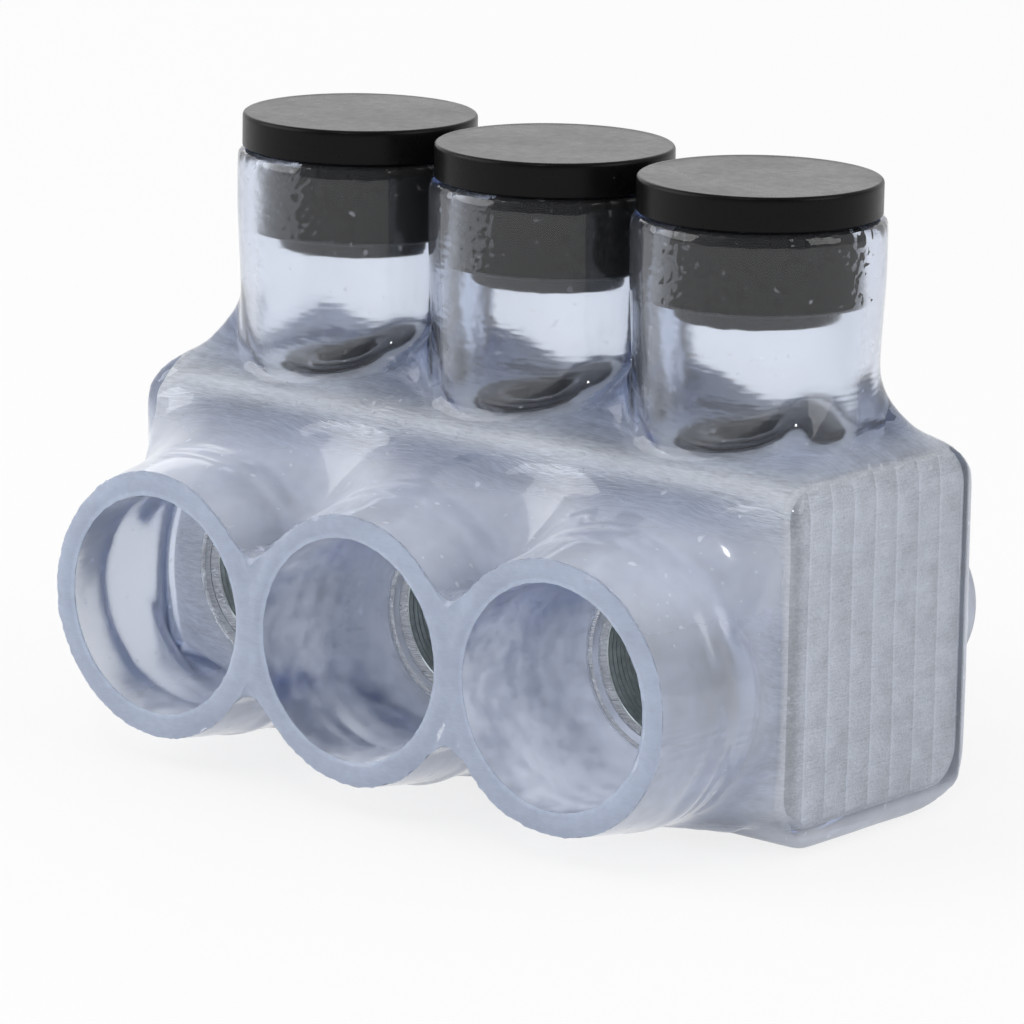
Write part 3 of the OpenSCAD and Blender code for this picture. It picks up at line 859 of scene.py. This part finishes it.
def tin_material(colours, grain, specks, near_ports):
    """Plated aluminium: drawn grey sides, and sawn ends with upright bands, with painted shade and painted
    highlights on the ends.
    """
    material, tree, shader = new_material("tin_plate")
    point = object_point(tree)
    x, y, _ = axes(tree, point)
    drawn = use_group(tree, grain, object_point(tree, (1.0, 6.0, 6.0)), scale=70.0, fine_share=0.5)
    scratch = use_group(tree, grain, object_point(tree, (1.0, 0.6, 9.0)), scale=120.0, fine_share=0.7)
    wander = use_group(tree, grain, object_point(tree, (1.0, 0.2, 0.25)), scale=90.0, fine_share=0.2)
    pits = use_group(tree, specks, point, scale=900.0, share=0.3, size=0.35)

    # masks: the end faces, their turned edges (painted a little darker, as shade), the saw's bands with painted
    # shade across each band and a painted highlight line at its edge, a painted shade strip along the ends'
    # front edges, and the countersinks
    far = math_node(tree, "ABSOLUTE", x)
    end = math_node(tree, "GREATER_THAN", far, (BLOCK_HI.x - 0.06) * MM)
    # turned: the ends' rounded edges, painted a little darker in the colour below as shade
    turned = math_node(tree, "GREATER_THAN", far, (BLOCK_HI.x - 0.75) * MM)
    turned = math_node(tree, "SUBTRACT", turned, end)
    band = math_node(tree, "FRACT", times(tree, plus(tree, times(tree, wander, 0.0016), y), 1 / 0.0034))
    # painted highlight: a thin lighter line at each saw band's edge; painted shade: each band darker towards
    # one side, as if lit across its facet
    painted_ridge_highlight = times(tree, math_node(tree, "LESS_THAN", band, 0.09), end)
    painted_facet_shade = times(tree, math_node(tree, "SUBTRACT", band, 0.5), end)
    # painted shade: each end face darker near its front edge
    painted_front_shade = times(tree, fade(tree, y, (BLOCK_LO.y + 2.0) * MM, (BLOCK_LO.y + 0.6) * MM), end)
    ring = times(tree, math_node(tree, "LESS_THAN", use_group(tree, near_ports, point), 0.0091),
                 math_node(tree, "LESS_THAN", y, (BLOCK_LO.y + 1.4) * MM))

    # colour: drawn grain and scratches, plus the painted facet shade, painted ridge highlights and painted
    # shade on the ends' edges and front strip
    value = plus(tree, drawn, times(tree, math_node(tree, "SUBTRACT", scratch, 0.5), 0.5),
                 times(tree, painted_facet_shade, -0.17), times(tree, painted_ridge_highlight, 0.07), times(tree, turned, -0.05),
                 times(tree, painted_front_shade, -0.42))
    tree.links.new(ramp(tree, value, (-0.3, shade(colours.tin, 0.45)), (0.7, shade(colours.tin, 1.12))),
                   shader.inputs["Base Color"])
    rough = math_node(tree, "SUBTRACT", ramp(tree, drawn, (0.3, 0.46), (0.7, 0.62)), times(tree, ring, 0.32))
    tree.links.new(rough, shader.inputs["Roughness"])
    height = plus(tree, times(tree, band, end, 3.5), times(tree, scratch, 0.8), drawn, times(tree, pits, -0.4),
                  times(tree, scratch, ring, 2.5))
    bumped(tree, shader, height, 0.8, 0.00012)
    put(shader, Metallic=0.6)
    return material


def metal_material(name, tint, rough, grain, specks):
    """A darker worked metal."""
    material, tree, shader = new_material(name)
    point = object_point(tree)
    cloud = use_group(tree, grain, point, scale=160.0, fine_share=0.5)
    dust = use_group(tree, specks, point, scale=900.0, share=0.12, size=0.25)
    dusted(tree, shader, dust, ramp(tree, cloud, (0.3, shade(tint, 0.7)), (0.7, shade(tint, 1.3))), 0.6)
    tree.links.new(ramp(tree, cloud, (0.3, rough * 0.8), (0.7, rough * 1.25)), shader.inputs["Roughness"])
    bumped(tree, shader, cloud, 0.3, 0.00008)
    put(shader, Metallic=1.0)
    return material


def rubber_material(colours, grain, specks):
    """Black moulded rubber with a dusty bloom."""
    material, tree, shader = new_material("black_rubber")
    point = object_point(tree)
    bloom = use_group(tree, grain, point, scale=130.0, fine_share=0.45)
    dust = use_group(tree, specks, point, scale=1100.0, share=0.02, size=0.18)
    black = ramp(tree, bloom, (0.3, shade(colours.rubber, 0.85)), (0.75, shade(colours.rubber, 1.3)))
    dusted(tree, shader, dust, black, 0.04)
    tree.links.new(ramp(tree, bloom, (0.3, 0.24), (0.75, 0.36)), shader.inputs["Roughness"])
    put(shader, Specular_IOR_Level=0.12)
    bumped(tree, shader, plus(tree, bloom, dust), 0.12, 0.00004)
    return material


# ---------------------------------------------------------------- stage

def photo_camera():
    """The camera at the photograph's viewing angle."""
    pitch = 0.0254
    az, el, roll = (math.radians(v) for v in (40.0534, 13.283, 0.9368))
    back = Vector((math.sin(az) * math.cos(el), -math.cos(az) * math.cos(el), math.sin(el)))
    level = Vector((math.cos(az), math.sin(az), 0.0))
    above = back.cross(level)
    right = math.cos(roll) * level + math.sin(roll) * above
    up = -math.sin(roll) * level + math.cos(roll) * above
    place = (Vector((-0.1828, 0.0, 0.842)) + back * 23.8498) * pitch + Vector((0, 0, 0.0029))
    data = bpy.data.cameras.new("photo")
    data.sensor_width = 36.0
    data.lens = 6095.404 / 1024 * 36
    data.shift_x = (512 - 512.6007) / 1024
    data.shift_y = (512.4516 - 512) / 1024
    data.clip_start = 0.01
    camera = bpy.data.objects.new("photo", data)
    bpy.context.scene.collection.objects.link(camera)
    camera.matrix_world = Matrix((
        (right.x, up.x, back.x, place.x), (right.y, up.y, back.y, place.y),
        (right.z, up.z, back.z, place.z), (0, 0, 0, 1)))
    bpy.context.scene.camera = camera


def softbox(name, place, target, width, height, power):
    """A soft area lamp that looks at a point."""
    data = bpy.data.lights.new(name, "AREA")
    data.shape = "RECTANGLE"
    data.size, data.size_y = width, height
    data.energy = power
    lamp = bpy.data.objects.new(name, data)
    bpy.context.scene.collection.objects.link(lamp)
    lamp.location = place
    lamp.rotation_euler = (Vector(target) - Vector(place)).to_track_quat("-Z", "Y").to_euler()
    return lamp


def seen_by_eye(tree):
    """1 for the rays that look at the background: camera, reflection and glass."""
    path = tree.nodes.new("ShaderNodeLightPath")
    both = math_node(tree, "MAXIMUM", path.outputs["Is Camera Ray"], path.outputs["Is Glossy Ray"])
    return math_node(tree, "MAXIMUM", both, path.outputs["Is Transmission Ray"])


def make_stage(settings):
    """Pale floor, white surroundings and soft light."""
    bm = bmesh.new()
    bmesh.ops.create_grid(bm, x_segments=1, y_segments=1, size=3.0)
    floor = new_piece("floor", bm)
    material, tree, shader = new_material("pale_floor")
    put(shader, Base_Color=(*settings.floor, 1.0), Roughness=0.9, Specular_IOR_Level=0.0)
    white = tree.nodes.new("ShaderNodeEmission")
    seen = times(tree, seen_by_eye(tree), settings.floor_whiteness)
    tree.links.new(mixed_shaders(tree, seen, shader.outputs["BSDF"], white.outputs["Emission"]),
                   tree.nodes["Material Output"].inputs["Surface"])
    floor.data.materials.append(material)

    world = bpy.data.worlds.new("studio")
    bpy.context.scene.world = world
    world.use_nodes = True
    tree = world.node_tree
    ground = tree.nodes["Background"]
    ground.inputs["Color"].default_value = (1, 1, 1, 1)
    path = tree.nodes.new("ShaderNodeLightPath")
    direction = tree.nodes.new("ShaderNodeTexCoord")
    toward = tree.nodes.new("ShaderNodeVectorMath")
    toward.operation = "DOT_PRODUCT"
    toward.inputs[1].default_value = (0.62, -0.74, 0.25)
    tree.links.new(direction.outputs["Generated"], toward.inputs[0])
    place = math_node(tree, "MULTIPLY_ADD", toward.outputs["Value"], 0.5, 0.5)
    walls = tree.nodes.new("ShaderNodeValToRGB")
    stops = walls.color_ramp.elements
    stops[0].position, stops[0].color = 0.10, (*[settings.room] * 3, 1)
    stops[1].position, stops[1].color = 0.92, (*[settings.dark_side] * 3, 1)
    for position, value in ((0.42, settings.room * 0.6), (0.66, settings.room * 0.55)):
        stops.new(position).color = (value, value, value, 1)
    tree.links.new(place, walls.inputs["Fac"])
    glossy = tree.nodes.new("ShaderNodeMix")
    tree.links.new(path.outputs["Is Glossy Ray"], glossy.inputs["Factor"])
    glossy.inputs["A"].default_value = settings.fill_strength
    tree.links.new(walls.outputs["Color"], glossy.inputs["B"])
    around = tree.nodes.new("ShaderNodeMix")
    tree.links.new(path.outputs["Is Transmission Ray"], around.inputs["Factor"])
    tree.links.new(glossy.outputs["Result"], around.inputs["A"])
    tree.links.new(math_node(tree, "MAXIMUM", walls.outputs["Color"], 0.66), around.inputs["B"])
    strength = tree.nodes.new("ShaderNodeMix")
    tree.links.new(path.outputs["Is Camera Ray"], strength.inputs["Factor"])
    tree.links.new(around.outputs["Result"], strength.inputs["A"])
    strength.inputs["B"].default_value = 1.0
    tree.links.new(strength.outputs["Result"], ground.inputs["Strength"])

    softbox("left", (-0.50, -0.45, 0.37), (0, 0, 0.03), 0.68, 0.54, settings.softbox_power)
    softbox("right", (0.62, 0.10, 0.34), (0, 0, 0.03), 0.40, 0.36, settings.right_power)
    softbox("behind", (-0.46, 0.52, 0.34), (0, 0, 0.03), 0.42, 0.28, settings.back_power)
    softbox("spark", (0.22, -0.55, 0.72), (0, 0, 0.03), 0.09, 0.06, settings.spark_power)


# ---------------------------------------------------------------- add-on

class CONNECTOR_OT_finishes(bpy.types.Operator):
    """Make the materials of the connector"""
    bl_idname = "connector.finishes"
    bl_label = "Make finishes"

    def execute(self, context):
        colours = context.scene.connector_colours
        grain, specks, near_ports = grain_group(), specks_group(), around_ports_group()
        vinyl_material(colours, grain, near_ports)
        cut_material(colours, grain, near_ports)
        tin_material(colours, grain, specks, near_ports)
        metal_material("dark_bore", colours.bore, 0.38, grain, specks)
        metal_material("zinc_steel", colours.steel, 0.42, grain, specks)
        rubber_material(colours, grain, specks)
        return {"FINISHED"}


class CONNECTOR_OT_block(bpy.types.Operator):
    """Make the metal block"""
    bl_idname = "connector.block"
    bl_label = "Make block"

    def execute(self, context):
        make_block(context.scene.connector_metal)
        return {"FINISHED"}


class CONNECTOR_OT_screws(bpy.types.Operator):
    """Make the three set screws"""
    bl_idname = "connector.screws"
    bl_label = "Make set screws"

    def execute(self, context):
        for number, x in enumerate(PORTS, 1):
            make_screw(number, x, context.scene.connector_metal)
        return {"FINISHED"}


class CONNECTOR_OT_caps(bpy.types.Operator):
    """Make the three rubber caps"""
    bl_idname = "connector.caps"
    bl_label = "Make caps"

    def execute(self, context):
        for number, x in enumerate(PORTS, 1):
            make_cap(number, x)
        return {"FINISHED"}


class CONNECTOR_OT_jacket(bpy.types.Operator):
    """Make the clear jacket"""
    bl_idname = "connector.jacket"
    bl_label = "Make jacket"

    def execute(self, context):
        make_jacket(context.scene.connector_jacket)
        return {"FINISHED"}


class CONNECTOR_OT_stage(bpy.types.Operator):
    """Set up the camera, the floor and the light"""
    bl_idname = "connector.stage"
    bl_label = "Set the stage"

    def execute(self, context):
        context.scene.view_settings.view_transform = "Standard"
        cycles = context.scene.cycles
        cycles.max_bounces = cycles.transmission_bounces = 6
        cycles.diffuse_bounces, cycles.glossy_bounces, cycles.transparent_max_bounces = 2, 3, 3
        cycles.use_light_tree = False
        photo_camera()
        make_stage(context.scene.connector_stage)
        return {"FINISHED"}


STEPS = (CONNECTOR_OT_finishes, CONNECTOR_OT_block, CONNECTOR_OT_screws, CONNECTOR_OT_caps,
         CONNECTOR_OT_jacket, CONNECTOR_OT_stage)
GROUPS = {"connector_jacket": JacketSizes, "connector_metal": MetalSizes,
          "connector_colours": FinishColours, "connector_stage": StageSettings}


class CONNECTOR_PT_panel(bpy.types.Panel):
    """Lists the steps and their settings"""
    bl_idname = "CONNECTOR_PT_panel"
    bl_label = "Connector"
    bl_space_type = "VIEW_3D"
    bl_region_type = "UI"
    bl_category = "Connector"

    def draw(self, context):
        for step in STEPS:
            self.layout.operator(step.bl_idname)
        for name, group in GROUPS.items():
            box = self.layout.box()
            for field in group.__annotations__:
                box.prop(getattr(context.scene, name), field)


def register():
    """Registers the classes and their settings."""
    for cls in (*GROUPS.values(), *STEPS, CONNECTOR_PT_panel):
        bpy.utils.register_class(cls)
    for name, group in GROUPS.items():
        setattr(bpy.types.Scene, name, PointerProperty(type=group))


def unregister():
    """Takes the classes and their settings away again."""
    for name in GROUPS:
        delattr(bpy.types.Scene, name)
    for cls in reversed((*GROUPS.values(), *STEPS, CONNECTOR_PT_panel)):
        bpy.utils.unregister_class(cls)


def main():
    """Makes every piece and the stage."""
    register()
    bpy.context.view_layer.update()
    bpy.ops.connector.finishes()
    bpy.ops.connector.block()
    bpy.ops.connector.screws()
    bpy.ops.connector.caps()
    bpy.ops.connector.jacket()
    bpy.ops.connector.stage()


if __name__ == "__main__":
    main()
